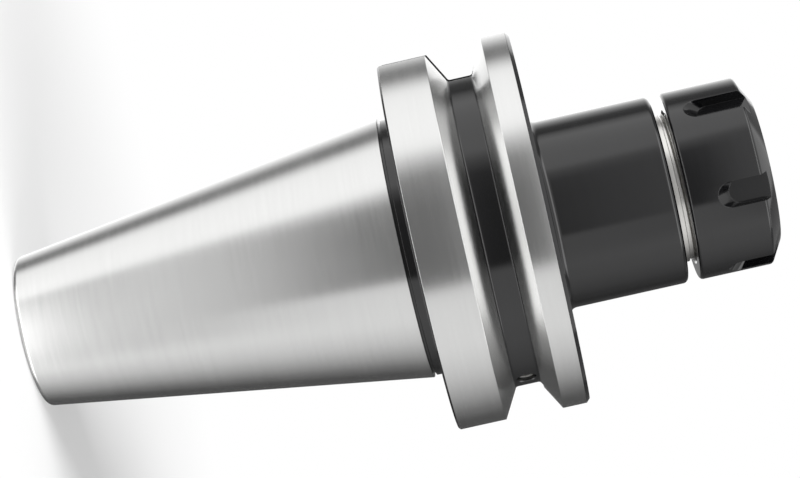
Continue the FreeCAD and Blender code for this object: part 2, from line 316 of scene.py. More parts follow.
def new_tree(name, inputs):
    """Geometry tree with a Geometry output and the named inputs; returns the tree and its group nodes."""
    tree = bpy.data.node_groups.new(name, "GeometryNodeTree")
    tree.interface.new_socket("Geometry", in_out="OUTPUT", socket_type="NodeSocketGeometry")
    for socket_name, kind in inputs:
        tree.interface.new_socket(socket_name, in_out="INPUT", socket_type="NodeSocket" + kind)
    return tree, tree.nodes.new("NodeGroupInput"), tree.nodes.new("NodeGroupOutput")


def add_node(tree, kind, values=None, **settings):
    """Node with its settings and input values; a value that is an output socket is linked."""
    node = tree.nodes.new(kind)
    for key, value in settings.items():
        setattr(node, key, value)
    for key, value in (values or {}).items():
        if isinstance(value, bpy.types.NodeSocket):
            tree.links.new(value, node.inputs[key])
        else:
            node.inputs[key].default_value = value
    return node


def maths(tree, operation, first, second=0.0):
    """Output of a Math node."""
    return add_node(tree, "ShaderNodeMath", {0: first, 1: second}, operation=operation).outputs[0]


def cutouts_tree():
    """Cuts copies of a cutter, set round Z, out of a turned piece and gives each finish its material."""
    tree, given, result = new_tree("Cut-outs About The Axis", [
        ("Geometry", "Geometry"), ("Cutter", "Object"), ("Count", "Int"), ("First Angle", "Float"),
        ("Spacing", "Float"), ("Blackened", "Material"), ("Ground", "Material"), ("Bare", "Material")])
    cutter = add_node(tree, "GeometryNodeObjectInfo", {"Object": given.outputs["Cutter"]})
    points = add_node(tree, "GeometryNodePoints", {"Count": given.outputs["Count"]})
    index = add_node(tree, "GeometryNodeInputIndex")
    turn = maths(tree, "MULTIPLY", index.outputs[0], given.outputs["Spacing"])
    turn = maths(tree, "ADD", turn, given.outputs["First Angle"])
    euler = add_node(tree, "ShaderNodeCombineXYZ", {"Z": turn})
    rotation = add_node(tree, "FunctionNodeEulerToRotation", {0: euler.outputs[0]})
    copies = add_node(tree, "GeometryNodeInstanceOnPoints", {
        "Points": points.outputs[0], "Instance": cutter.outputs["Geometry"], "Rotation": rotation.outputs[0]})
    cutters = add_node(tree, "GeometryNodeRealizeInstances", {0: copies.outputs[0]})
    cut = add_node(tree, "GeometryNodeMeshBoolean", {
        "Mesh 1": given.outputs["Geometry"], "Mesh 2": cutters.outputs[0]},
        operation="DIFFERENCE", solver="EXACT")
    smooth = add_node(tree, "GeometryNodeSetShadeSmooth", {0: cut.outputs[0]})
    flow = add_node(tree, "GeometryNodeRealizeInstances", {0: smooth.outputs[0]}).outputs[0]
    finish = add_node(tree, "GeometryNodeInputNamedAttribute", {"Name": "finish"}, data_type="INT")
    for value, name in ((BLACKENED, "Blackened"), (GROUND, "Ground"), (BARE, "Bare")):
        chosen = add_node(tree, "FunctionNodeCompare", data_type="INT", operation="EQUAL")
        tree.links.new(finish.outputs["Attribute"], chosen.inputs[2])
        chosen.inputs[3].default_value = value
        flow = add_node(tree, "GeometryNodeSetMaterial", {
            "Geometry": flow, "Selection": chosen.outputs[0], "Material": given.outputs[name]}).outputs[0]
    tree.links.new(flow, result.inputs[0])
    return tree


def thread_tree():
    """Right-hand screw thread: one trapezoid ridge wound on a cylinder, fading out at both ends."""
    tree, given, result = new_tree("Screw Thread", [
        ("Geometry", "Geometry"), ("Turns", "Float"), ("Pitch", "Float"), ("Start Height", "Float"),
        ("Base Radius", "Float"), ("Ridge Height", "Float"), ("Base Width", "Float"), ("Crest Width", "Float"),
        ("Inward", "Bool"), ("Run-out Turns", "Float"), ("Steps Per Turn", "Int"), ("Material", "Material")])
    rise = maths(tree, "MULTIPLY", given.outputs["Turns"], given.outputs["Pitch"])
    spiral = add_node(tree, "GeometryNodeCurveSpiral", {
        "Resolution": given.outputs["Steps Per Turn"], "Rotations": given.outputs["Turns"],
        "Start Radius": given.outputs["Base Radius"], "End Radius": given.outputs["Base Radius"],
        "Height": rise, "Reverse": True})
    start = add_node(tree, "ShaderNodeCombineXYZ", {"Z": given.outputs["Start Height"]})
    placed = add_node(tree, "GeometryNodeTransform", {
        "Geometry": spiral.outputs[0], "Translation": start.outputs[0]})
    upright = add_node(tree, "GeometryNodeSetCurveNormal", {"Curve": placed.outputs[0]}, mode="Z_UP")
    section = add_node(tree, "GeometryNodeCurvePrimitiveQuadrilateral", {
        "Height": given.outputs["Ridge Height"], "Bottom Width": given.outputs["Base Width"],
        "Top Width": given.outputs["Crest Width"], "Offset": 0.0}, mode="TRAPEZOID")
    lift = maths(tree, "MULTIPLY", given.outputs["Ridge Height"], 0.5)
    lift = add_node(tree, "ShaderNodeCombineXYZ", {"Y": lift})
    seated = add_node(tree, "GeometryNodeTransform", {
        "Geometry": section.outputs[0], "Translation": lift.outputs[0]})
    half_turns = maths(tree, "MULTIPLY", given.outputs["Inward"], math.pi)
    facing = maths(tree, "ADD", half_turns, -math.pi / 2)
    facing = add_node(tree, "ShaderNodeCombineXYZ", {"Z": facing})
    turned = add_node(tree, "GeometryNodeTransform", {
        "Geometry": seated.outputs[0], "Rotation": facing.outputs[0]})
    along = add_node(tree, "GeometryNodeSplineParameter").outputs["Factor"]
    to_end = maths(tree, "MINIMUM", along, maths(tree, "SUBTRACT", 1.0, along))
    fade = maths(tree, "MULTIPLY", to_end, maths(tree, "DIVIDE", given.outputs["Turns"],
                                                  given.outputs["Run-out Turns"]))
    fade = add_node(tree, "ShaderNodeClamp", {"Value": fade, "Min": 0.03, "Max": 1.0})
    ridge = add_node(tree, "GeometryNodeCurveToMesh", {
        "Curve": upright.outputs[0], "Profile Curve": turned.outputs[0], "Scale": fade.outputs[0],
        "Fill Caps": True})
    smooth = add_node(tree, "GeometryNodeSetShadeSmooth", {0: ridge.outputs[0]})
    realized = add_node(tree, "GeometryNodeRealizeInstances", {0: smooth.outputs[0]})
    finished = add_node(tree, "GeometryNodeSetMaterial", {
        "Geometry": realized.outputs[0], "Material": given.outputs["Material"]})
    tree.links.new(finished.outputs[0], result.inputs[0])
    return tree


def tree_named(name, build):
    """The tree of that name, built on first use."""
    return bpy.data.node_groups.get(name) or build()


def run_tree(obj, tree, values):
    """Runs a geometry tree on an object and keeps the result as its plain mesh."""
    modifier = obj.modifiers.new(tree.name, "NODES")
    modifier.node_group = tree
    sockets = {s.name: s.identifier for s in tree.interface.items_tree if s.in_out == "INPUT"}
    for name, value in values.items():
        modifier[sockets[name]] = value
    evaluated = obj.evaluated_get(bpy.context.evaluated_depsgraph_get())
    mesh = bpy.data.meshes.new_from_object(evaluated)
    if not mesh.polygons:
        raise RuntimeError(f"{tree.name} left nothing of {obj.name}")
    obj.modifiers.remove(modifier)
    old = obj.data
    obj.data = mesh
    bpy.data.meshes.remove(old)
    mesh.name = obj.name
    return obj


# ---------------------------------------------------------------- shader node groups

def shader_group(name, inputs, outputs):
    """Shader group with float inputs given as (name, default) and outputs given as (name, kind)."""
    group = bpy.data.node_groups.new(name, "ShaderNodeTree")
    for socket_name, default in inputs:
        socket = group.interface.new_socket(socket_name, in_out="INPUT", socket_type="NodeSocketFloat")
        socket.default_value = default
    for socket_name, kind in outputs:
        group.interface.new_socket(socket_name, in_out="OUTPUT", socket_type="NodeSocket" + kind)
    return group, group.nodes.new("NodeGroupInput"), group.nodes.new("NodeGroupOutput")


def tool_lines_group():
    """Fine lines that a lathe or grinding wheel leaves round the axis, as a height and a tone about zero."""
    group, given, result = shader_group(
        "Lines Round The Axis", [("Lines Per Millimetre", 4.0), ("Waver", 1.0)],
        [("Height", "Float"), ("Tone", "Float")])
    place = add_node(group, "ShaderNodeTexCoord").outputs["Object"]
    parts = add_node(group, "ShaderNodeSeparateXYZ", {0: place}).outputs
    flat = add_node(group, "ShaderNodeCombineXYZ", {"X": parts["X"], "Y": parts["Y"]})
    radius = add_node(group, "ShaderNodeVectorMath", {0: flat.outputs[0]}, operation="LENGTH").outputs["Value"]
    around = add_node(group, "ShaderNodeVectorMath", {0: flat.outputs[0]}, operation="NORMALIZE").outputs[0]
    around = add_node(group, "ShaderNodeVectorMath", {0: around, "Scale": given.outputs["Waver"]},
                      operation="SCALE").outputs[0]
    across = maths(group, "ADD", parts["Z"], maths(group, "MULTIPLY", radius, 0.9))
    scale = maths(group, "MULTIPLY", given.outputs["Lines Per Millimetre"], 1000.0)
    across = add_node(group, "ShaderNodeCombineXYZ", {"Z": maths(group, "MULTIPLY", across, scale)}).outputs[0]
    point = add_node(group, "ShaderNodeVectorMath", {0: around, 1: across}, operation="ADD").outputs[0]
    fine = add_node(group, "ShaderNodeTexNoise", {"Vector": point, "Scale": 1.0, "Detail": 2.0, "Roughness": 0.6})
    wide_point = add_node(group, "ShaderNodeVectorMath", {0: point, 1: (1.0, 1.0, 0.13)}, operation="MULTIPLY")
    wide = add_node(group, "ShaderNodeTexNoise", {"Vector": wide_point.outputs[0], "Scale": 1.0, "Detail": 1.0})
    both = maths(group, "ADD", fine.outputs[0], wide.outputs[0])
    group.links.new(fine.outputs[0], result.inputs["Height"])
    group.links.new(maths(group, "SUBTRACT", both, 1.0), result.inputs["Tone"])
    return group


def mottle_group():
    """Soft uneven patches, such as oil film and handling marks, as a value about zero."""
    group, given, result = shader_group("Soft Mottle", [("Patch Size", 0.02)], [("Patches", "Float")])
    place = add_node(group, "ShaderNodeTexCoord").outputs["Object"]
    scale = maths(group, "DIVIDE", 1.0, given.outputs["Patch Size"])
    noise = add_node(group, "ShaderNodeTexNoise", {"Vector": place, "Scale": scale, "Detail": 3.0})
    group.links.new(maths(group, "SUBTRACT", noise.outputs[0], 0.5), result.inputs["Patches"])
    return group


def group_node(material, name, build, values):
    """The shader group of that name, placed in a material with its own values."""
    tree = material.node_tree
    node = tree.nodes.new("ShaderNodeGroup")
    node.node_tree = bpy.data.node_groups.get(name) or build()
    for key, value in values.items():
        node.inputs[key].default_value = value
    return node


def new_material(name):
    """Empty node material with a Principled shader; returns the material, its tree and the shader."""
    material = bpy.data.materials.new(name)
    material.use_nodes = True
    tree = material.node_tree
    tree.nodes.clear()
    shader = tree.nodes.new("ShaderNodeBsdfPrincipled")
    output = tree.nodes.new("ShaderNodeOutputMaterial")
    tree.links.new(shader.outputs[0], output.inputs["Surface"])
    return material, tree, shader


def tooled_surface(name, base, roughness, lines, line_depth, tone_shares, rough_shares, edge=0.0002):
    """Surface with tool lines round the axis, soft patches and narrow rounded edges.

    Each pair of shares says how much the tool lines and the patches vary the base colour or the roughness.
    """
    material, tree, shader = new_material(name)
    tool = group_node(material, "Lines Round The Axis", tool_lines_group, {"Lines Per Millimetre": lines})
    film = group_node(material, "Soft Mottle", mottle_group, {})

    def varied(centre, shares):
        value = centre
        for source, share in zip((tool.outputs["Tone"], film.outputs["Patches"]), shares):
            value = add_node(tree, "ShaderNodeMath", {0: source, 1: centre * share, 2: value},
                             operation="MULTIPLY_ADD").outputs[0]
        return value

    tint = add_node(tree, "ShaderNodeVectorMath", {0: tuple(base), "Scale": varied(1.0, tone_shares)},
                    operation="SCALE")
    tree.links.new(tint.outputs[0], shader.inputs["Base Color"])
    tree.links.new(varied(roughness, rough_shares), shader.inputs["Roughness"])
    rounded = add_node(tree, "ShaderNodeBevel", {"Radius": edge}, samples=4)
    bump = add_node(tree, "ShaderNodeBump", {
        "Height": tool.outputs["Height"], "Distance": line_depth, "Strength": 1.0, "Normal": rounded.outputs[0]})
    tree.links.new(bump.outputs[0], shader.inputs["Normal"])
    return material, tree, shader


def metal(name, base, roughness, lines, line_depth, anisotropy=0.0):
    """Bare steel with tool lines round the axis."""
    material, tree, shader = tooled_surface(name, base, roughness, lines, line_depth, (0.05, 0.04), (0.2, 0.4))
    shader.inputs["Metallic"].default_value = 1.0
    shader.inputs["Anisotropic"].default_value = anisotropy
    if anisotropy:
        tangent = add_node(tree, "ShaderNodeTangent", direction_type="RADIAL", axis="Z")
        tree.links.new(tangent.outputs[0], shader.inputs["Tangent"])
    return material


def black_oxide(name, base, roughness, lines, line_depth):
    """Oiled black oxide over fine turning lines, with faint uneven patches."""
    material, _, shader = tooled_surface(name, base, roughness, lines, line_depth, (0.5, 0.8), (0.3, 0.5))
    shader.inputs["IOR"].default_value = 1.55
    return material


def finishes():
    """The finishes shared by the pieces, made on first use, as {name: material}."""
    colours = bpy.context.scene.collet_holder.colours
    makers = {
        "ground_steel": lambda: metal("ground_steel_finish", colours.ground, 0.2, 5.0, 1e-7, anisotropy=0.3),
        "bare_steel": lambda: metal("bare_steel_finish", colours.bare, 0.28, 3.0, 6e-7),
        "blackened_steel": lambda: black_oxide("blackened_steel_finish", colours.blackened, 0.11, 4.0, 5e-8),
        "blackened_nut": lambda: black_oxide("blackened_nut_finish", colours.blackened, 0.12, 3.0, 5e-8),
        "screw_steel": lambda: metal("screw_steel_finish", colours.bare, 0.35, 2.0, 3e-7),
        "ring_steel": lambda: metal("ring_steel_finish", colours.ground, 0.25, 4.0, 3e-7),
        "spring_steel": lambda: metal("spring_steel_finish", (0.45, 0.44, 0.42), 0.3, 6.0, 2e-7),
    }
    return {name: bpy.data.materials.get(f"{name}_finish") or make() for name, make in makers.items()}


# ---------------------------------------------------------------- outlines of the turned pieces

def body_corners(shank, flange, nose, thread):
    """Whole outline of the body: up the outside from the small end, and back down through the bores."""
    gauge = shank.shank_length

    def cone(z):
        return shank.gauge_diameter / 2 - (gauge - z) * shank.taper / 2

    cone_end = gauge - shank.cone_stop
    collar = cone_end + shank.groove_width
    back = gauge + flange.offset
    front = back + flange.width
    rim = flange.diameter / 2
    groove = back + flange.groove_offset
    low_rim, high_rim = groove - flange.groove_width / 2, groove + flange.groove_width / 2
    floor_half = flange.groove_width / 2 - flange.groove_depth * math.tan(flange.groove_angle)
    floor = rim - flange.groove_depth
    nose_end = front + nose.nose_length
    band_end = nose_end + nose.band_length
    top = body_high.z
    seat_slope = math.tan(nose.seat_angle)
    seat_back = top - nose.seat_depth
    relief_end = top - nose.relief_depth
    relief = nose.relief_diameter / 2
    coolant = shank.coolant_diameter / 2
    pilot = shank.stud_pilot_diameter / 2
    point = math.tan(DRILL_HALF_ANGLE)
    edge = 0.00015
    mouth = nose.seat_mouth / 2
    mouth_break = 0.0005
    return [
        Corner(cone(0), 0, shank.end_round, GROUND),
        Corner(cone(cone_end), cone_end, edge, GROUND),
        Corner(shank.groove_diameter / 2, cone_end),
        Corner(shank.groove_diameter / 2, collar),
        Corner(shank.collar_diameter / 2, collar, 0.0002),
        Corner(shank.collar_diameter / 2, back),
        Corner(rim - flange.rear_chamfer, back, edge),
        Corner(rim, back + flange.rear_chamfer, edge, GROUND),
        Corner(rim, low_rim, flange.rim_round, GROUND),
        # The roundings beside the groove's floor are blackened like the floor. This paints shade into the groove's
        # corners as a dark line where each ground flank meets the floor. The floor's own blackened finish is real.
        Corner(floor, groove - floor_half, flange.root_round),
        Corner(floor, groove + floor_half, flange.root_round, GROUND, BLACKENED),
        Corner(rim, high_rim, flange.rim_round, GROUND),
        Corner(rim, front - flange.front_chamfer, edge),
        Corner(rim - flange.front_chamfer, front, edge),
        Corner(nose.diameter / 2, front, nose.root_fillet),
        Corner(nose.diameter / 2, nose_end, nose.end_round),
        Corner(nose.band_diameter / 2, nose_end, 0, BARE),
        Corner(nose.band_diameter / 2, band_end, 0.0001, BARE),
        Corner(thread.root, band_end, 0, BARE),
        Corner(thread.root, top - nose.end_chamfer / 2, edge, BARE),
        Corner(thread.root - nose.end_chamfer / 2, top, edge, BARE),
        Corner(mouth + mouth_break, top, edge, GROUND),
        Corner(mouth - mouth_break * seat_slope, top - mouth_break, edge, GROUND),
        Corner(mouth - nose.seat_depth * seat_slope, seat_back, 0, BARE),
        Corner(relief, seat_back, 0, BARE),
        Corner(relief, relief_end, 0, BARE),
        Corner(coolant, relief_end - (relief - coolant) / point, 0, BARE),
        Corner(coolant, shank.stud_depth + (thread.stud_root - coolant) / point, 0, BARE),
        Corner(thread.stud_root, shank.stud_depth, 0, BARE),
        Corner(thread.stud_root, shank.stud_pilot_depth, 0, BARE),
        Corner(pilot, shank.stud_pilot_depth, 0, BARE),
        Corner(pilot, shank.stud_mouth_chamfer, 0, BLACKENED),
        Corner(pilot + shank.stud_mouth_chamfer, 0, edge, BLACKENED),
    ]


def nut_corners(nut, thread):
    """Whole outline of the nut: up the outside from its back face, and back down through its bore."""
    back, front = nut_low.z, nut_high.z
    rim = nut_high.x
    face = nut.face_diameter / 2
    bevel = (rim - face) * math.tan(nut.bevel_angle)
    mouth = nut.mouth_diameter / 2
    pocket = ring_high.x + nut.ring_clearance
    wire_outer = wire_high.x + nut.wire_clearance
    wire_low_side = wire_low.z - nut.wire_clearance
    wire_high_side = wire_high.z + nut.wire_clearance
    undercut = nut.undercut_diameter / 2
    thread_end = back + nut.thread_length
    root = thread.crest + thread.clearance
    lead_in = 0.0006
    return [
        Corner(root + lead_in, back, 0.0001),
        Corner(rim, back, nut.back_round),
        Corner(rim, front - bevel, nut.bevel_round),
        Corner(face, front, nut.face_round),
        Corner(mouth + nut.mouth_chamfer, front, 0.0001),
        Corner(mouth, front - nut.mouth_chamfer, 0.0001),
        Corner(mouth, ring_high.z),
        Corner(pocket, ring_high.z),
        Corner(pocket, wire_high_side),
        Corner(wire_outer, wire_high_side),
        Corner(wire_outer, wire_low_side),
        Corner(pocket, wire_low_side),
        Corner(pocket, ring_low.z),
        Corner(undercut, ring_low.z),
        Corner(undercut, thread_end),
        Corner(root, thread_end),
        Corner(root, back + lead_in),
    ]


# ---------------------------------------------------------------- cutters

def drive_slot_cutter(shank, flange):
    """Box with rounded floor corners, open outwards and to the rear."""
    back = shank.shank_length + flange.offset
    half, corner = flange.slot_width / 2, flange.slot_corner
    outer = flange.diameter / 2 + CUT_PAST
    section = [(outer, -half), (outer, half)]
    for side, first in ((1, 0), (-1, 90)):
        for k in range(7):
            turn = math.radians(first + 15 * k)
            section.append((flange.slot_floor + corner - corner * math.sin(turn),
                            side * (half - corner) + corner * math.cos(turn)))
    return lofted_mesh("drive_slot_cutter", [
        [(x, y, z) for x, y in section] for z in (back - CUT_PAST / 2, back + flange.slot_length)])


def plug_hole_cutter(flange):
    """Round hole that points away from the axis, with a countersunk rim in the groove's floor."""
    floor = flange.diameter / 2 - flange.groove_depth
    middle = (plug_low.z + plug_high.z) / 2
    hole = flange.plug_diameter / 2
    wide = hole + flange.plug_chamfer
    depth, overlap, steps = 0.0063, 0.00005, 48
    stations = ((hole, floor - depth), (hole, floor - flange.plug_chamfer - overlap), (wide, floor),
                (wide, floor + CUT_PAST))
    turns = [2 * math.pi * k / steps for k in range(steps)]
    return lofted_mesh("plug_hole_cutter", [
        [(reach, radius * math.cos(turn), middle + radius * math.sin(turn)) for turn in turns]
        for radius, reach in stations])


def spanner_slot_cutter(nut, slot_length):
    """Channel with a round end whose wall leans out to the rim, open to the front and outwards."""
    front = nut_high.z
    half = nut.slot_width / 2
    floor = nut_high.x - nut.slot_depth
    height = nut.slot_depth + CUT_PAST
    run = height * nut.slot_ramp / nut.slot_depth
    centre = front - slot_length + nut.slot_ramp + half
    low, high = [], []
    for loop, reach, shift in ((low, floor, 0), (high, floor + height, run)):
        loop.append((reach, half, front + CUT_PAST / 2))
        for k in range(25):
            turn = math.radians(7.5 * k)
            loop.append((reach, half * math.cos(turn), centre - shift - half * math.sin(turn)))
        loop.append((reach, -half, front + CUT_PAST / 2))
    return lofted_mesh("spanner_slot_cutter", (low, high))


def cut_round_axis(obj, cutter_mesh, count, first_angle, spacing, black):
    """Cuts the cutter out of obj count times, at that spacing about the axis."""
    materials = finishes()
    cutter = add_object(cutter_mesh.name, cutter_mesh)
    run_tree(obj, tree_named("Cut-outs About The Axis", cutouts_tree), {
        "Cutter": cutter, "Count": count, "First Angle": first_angle, "Spacing": spacing,
        "Blackened": materials[black], "Ground": materials["ground_steel"], "Bare": materials["bare_steel"]})
    remove_object(cutter)


def thread_piece(name, turns, pitch, start, base, height, crest_share, inward, steps):
    """One thread as a plain mesh."""
    ridge = add_object(name, bpy.data.meshes.new(name))
    crest = pitch * crest_share
    height += THREAD_SINK
    run_tree(ridge, tree_named("Screw Thread", thread_tree), {
        "Turns": turns, "Pitch": pitch, "Start Height": start,
        "Base Radius": base + (THREAD_SINK if inward else -THREAD_SINK), "Ridge Height": height,
        "Base Width": crest + 2 * height * math.tan(THREAD_FLANK_ANGLE), "Crest Width": crest,
        "Inward": inward, "Run-out Turns": 0.6, "Steps Per Turn": steps,
        "Material": finishes()["blackened_nut" if name == "nut_thread" else "bare_steel"]})
    ridge.data.set_sharp_from_angle(angle=SMOOTH_ANGLE)
    return ridge


# ---------------------------------------------------------------- operators

class ColletHolderBody(bpy.types.Operator):
    """Builds the one-piece holder body with its drive slots and plug hole"""
    bl_idname = "collet_holder.body"
    bl_label = "Holder Body"

    def execute(self, context):
        settings = context.scene.collet_holder
        flange = settings.flange
        corners = body_corners(settings.shank, flange, settings.nose, settings.thread)
        body = add_object("holder_body_turned", turned_mesh("holder_body_turned", corners, 288))
        cut_round_axis(body, drive_slot_cutter(settings.shank, flange), flange.slot_count, 0.0,
                       2 * math.pi / flange.slot_count, "blackened_steel")
        plug_middle = (plug_low + plug_high) / 2
        plug_angle = math.atan2(plug_middle.y, plug_middle.x)
        cut_round_axis(body, plug_hole_cutter(flange), 1, plug_angle, 0.0, "blackened_steel")
        body.data.set_sharp_from_angle(angle=SMOOTH_ANGLE)
        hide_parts("holder_body")
        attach(body, "holder")
        return {"FINISHED"}


class ColletHolderNut(bpy.types.Operator):
    """Builds the clamping nut with its spanner slots"""
    bl_idname = "collet_holder.nut"
    bl_label = "Clamping Nut"

    def execute(self, context):
        settings = context.scene.collet_holder
        sizes = settings.nut
        nut = add_object("clamping_nut_turned", turned_mesh("clamping_nut_turned",
                                                            nut_corners(sizes, settings.thread), 240))
        spacing = 2 * math.pi / sizes.slot_count
        long_slots = sizes.long_slot_count
        cut_round_axis(nut, spanner_slot_cutter(sizes, sizes.long_slot_length), long_slots,
                       sizes.slot_angle, spacing, "blackened_nut")
        cut_round_axis(nut, spanner_slot_cutter(sizes, sizes.slot_length), sizes.slot_count - long_slots,
                       sizes.slot_angle + long_slots * spacing, spacing, "blackened_nut")
        nut.data.set_sharp_from_angle(angle=SMOOTH_ANGLE)
        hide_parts("clamping_nut")
        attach(nut, "nut")
        return {"FINISHED"}


class ColletHolderThreads(bpy.types.Operator):
    """Winds the threads of the spigot, the nut and the pull stud socket"""
    bl_idname = "collet_holder.threads"
    bl_label = "Screw Threads"

    def execute(self, context):
        settings = context.scene.collet_holder
        thread, nose, nut, shank = settings.thread, settings.nose, settings.nut, settings.shank
        pitch = thread.pitch
        band_end = shank.shank_length + settings.flange.offset + settings.flange.width + nose.nose_length \
            + nose.band_length
        spigot_start = band_end + 0.2 * pitch
        spigot_turns = (body_high.z - nose.end_chamfer / 2 - spigot_start) / pitch
        spigot = thread_piece("spigot_thread", spigot_turns, pitch, spigot_start, thread.root,
                              thread.crest - thread.root, 0.125, False, 180)
        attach(spigot, "holder")
        # half a pitch from the spigot's ridge, on the same helix
        nut_root = thread.crest + thread.clearance
        nut_crest = thread.root + 2.2 * thread.clearance
        nut_start = spigot_start + (math.ceil((nut_low.z - spigot_start) / pitch) + 0.5) * pitch
        nut_turns = float(math.floor((nut_low.z + nut.thread_length - nut_start) / pitch))
        inside = thread_piece("nut_thread", nut_turns, pitch, nut_start, nut_root, nut_root - nut_crest,
                              0.25, True, 120)
        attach(inside, "nut")
        stud_start = shank.stud_pilot_depth + 0.5 * thread.stud_pitch
        stud_turns = (shank.stud_depth - stud_start) / thread.stud_pitch - 0.3
        stud = thread_piece("stud_thread", stud_turns, thread.stud_pitch, stud_start, thread.stud_root,
                            thread.stud_root - thread.stud_crest, 0.25, True, 96)
        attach(stud, "holder")
        return {"FINISHED"}


class ColletHolderKeptNodes(bpy.types.Operator):
    """Gives the plug screw, the extractor ring and the retaining wire their finishes"""
    bl_idname = "collet_holder.kept_nodes"
    bl_label = "Screw, Ring and Wire Finishes"

    def execute(self, context):
        materials = finishes()
        kept = {"groove_plug_screw": "screw_steel", "extractor_ring": "ring_steel", "retaining_wire": "spring_steel"}
        for node, finish in kept.items():
            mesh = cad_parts[node].data
            mesh.materials.clear()
            mesh.materials.append(materials[finish])
        return {"FINISHED"}


def view_axes(studio):
    """Directions from the axis to the camera and to the top of the view."""
    to_camera = Vector((-math.sin(studio.bearing), -math.cos(studio.bearing), 0))
    to_top = Vector((-math.cos(studio.bearing), math.sin(studio.bearing), 0))
    return to_camera, to_top


def add_camera(studio):
    """Camera beside the holder, rolled so that the axis rises to the right."""
    to_camera, to_top = view_axes(studio)
    up = Vector((0, 0, 1))
    place = to_camera * studio.distance + to_top * studio.target_offset + up * studio.camera_height
    target = to_top * studio.target_offset + up * studio.target_height
    forward = (target - place).normalized()
    along = (up - forward * up.dot(forward)).normalized()
    right = along * math.cos(studio.roll) - to_top * math.sin(studio.roll)
    top = along * math.sin(studio.roll) + to_top * math.cos(studio.roll)
    data = bpy.data.cameras.new("camera")
    data.lens = studio.focal_length
    data.sensor_width = 36
    data.clip_start = 0.01
    camera = add_object("camera", data)
    camera.matrix_world = Matrix.Translation(place) @ Matrix((right, top, -forward)).transposed().to_4x4()
    bpy.context.scene.camera = camera


# Strength of the light tent by angle from the camera, towards the top of the view, in degrees
TENT_STOPS = (
    (-180, 0.35), (-166, 0.1), (-138, 0.1), (-122, 0.24), (-106, 0.52), (-86, 0.9), (-66, 1.13), (-29, 1.13),
    (-24, 0.2), (20, 0.22), (40, 0.34), (50, 0.95), (57, 1.6), (102, 1.5), (110, 0.9), (117, 0.25), (128, 0.28),
    (138, 0.8), (152, 1.35), (180, 1.8),
)
# Limits of the tent's other zones, where height and forward reach are shares of its radius
PATCH_END, PATCH_FORWARD, OFF_PATCH_LEVEL = (0.14, 0.38), (0.45, 0.75), 0.93
STRIP_START, STRIP_END, STRIP_FORWARD = (0.6, 0.7), (1.2, 1.4), (-0.2, 0.3)


def tent_material(studio):
    """Emission that follows the angle round the holder and the height, as panels and flags of a light tent do."""
    material = bpy.data.materials.new("light_tent")
    material.use_nodes = True
    tree = material.node_tree
    tree.nodes.clear()
    place = add_node(tree, "ShaderNodeTexCoord").outputs["Object"]
    mirrored = add_node(tree, "ShaderNodeVectorMath", {0: place, 1: (1, -1, 1)}, operation="MULTIPLY")
    around = add_node(tree, "ShaderNodeTexGradient", {0: mirrored.outputs[0]}, gradient_type="RADIAL")
    ramp = add_node(tree, "ShaderNodeValToRGB", {0: around.outputs["Fac"]})
    highest = max(strength for _, strength in TENT_STOPS)
    stops = ramp.color_ramp.elements
    while len(stops) < len(TENT_STOPS):
        stops.new(0.5)
    for stop, (degrees, strength) in zip(stops, TENT_STOPS):
        stop.position = (degrees + 180) / 360
        stop.color = (strength / highest,) * 3 + (1,)
    level = maths(tree, "MULTIPLY", ramp.outputs[0], highest)
    parts = add_node(tree, "ShaderNodeSeparateXYZ", {0: place}).outputs
    steep = maths(tree, "ABSOLUTE", maths(tree, "DIVIDE", parts["Z"], studio.tent_radius))
    forward = maths(tree, "DIVIDE", parts["X"], studio.tent_radius)

    def step(value, limits):
        return add_node(tree, "ShaderNodeMapRange", {"Value": value, "From Min": limits[0], "From Max": limits[1]},
                        interpolation_type="SMOOTHSTEP").outputs[0]

    def mixed(share, first, second):
        return add_node(tree, "ShaderNodeMix", {"Factor": share, "A": first, "B": second}).outputs[0]

    # the dark patch round the camera ends a little below and above it
    off_patch = maths(tree, "MULTIPLY", step(steep, PATCH_END), step(forward, PATCH_FORWARD))
    level = mixed(off_patch, level, OFF_PATCH_LEVEL)
    # strips above and below the camera light the thin edges, and the far sides stay dim
    strip = maths(tree, "SUBTRACT", step(steep, STRIP_START), step(steep, STRIP_END))
    level = mixed(strip, level, mixed(step(forward, STRIP_FORWARD), studio.far_strip, studio.edge_strip))
    emission = add_node(tree, "ShaderNodeEmission", {"Color": (1, 1, 1, 1), "Strength": level})
    add_node(tree, "ShaderNodeOutputMaterial", {"Surface": emission.outputs[0]})
    material.cycles.emission_sampling = "NONE"
    return material


def add_tent(studio):
    """Upright cylinder round the holder, seen only in its gloss."""
    bm = bmesh.new()
    bmesh.ops.create_cone(bm, segments=180, radius1=studio.tent_radius, radius2=studio.tent_radius,
                          depth=2 * studio.tent_height)
    mesh = finished_mesh("light_tent", bm)
    mesh.materials.append(tent_material(studio))
    tent = add_object("light_tent", mesh)
    to_camera, _ = view_axes(studio)
    tent.rotation_euler.z = math.atan2(to_camera.y, to_camera.x)
    tent.visible_camera = False
    tent.visible_diffuse = False
    tent.visible_shadow = False
    tent.visible_transmission = False


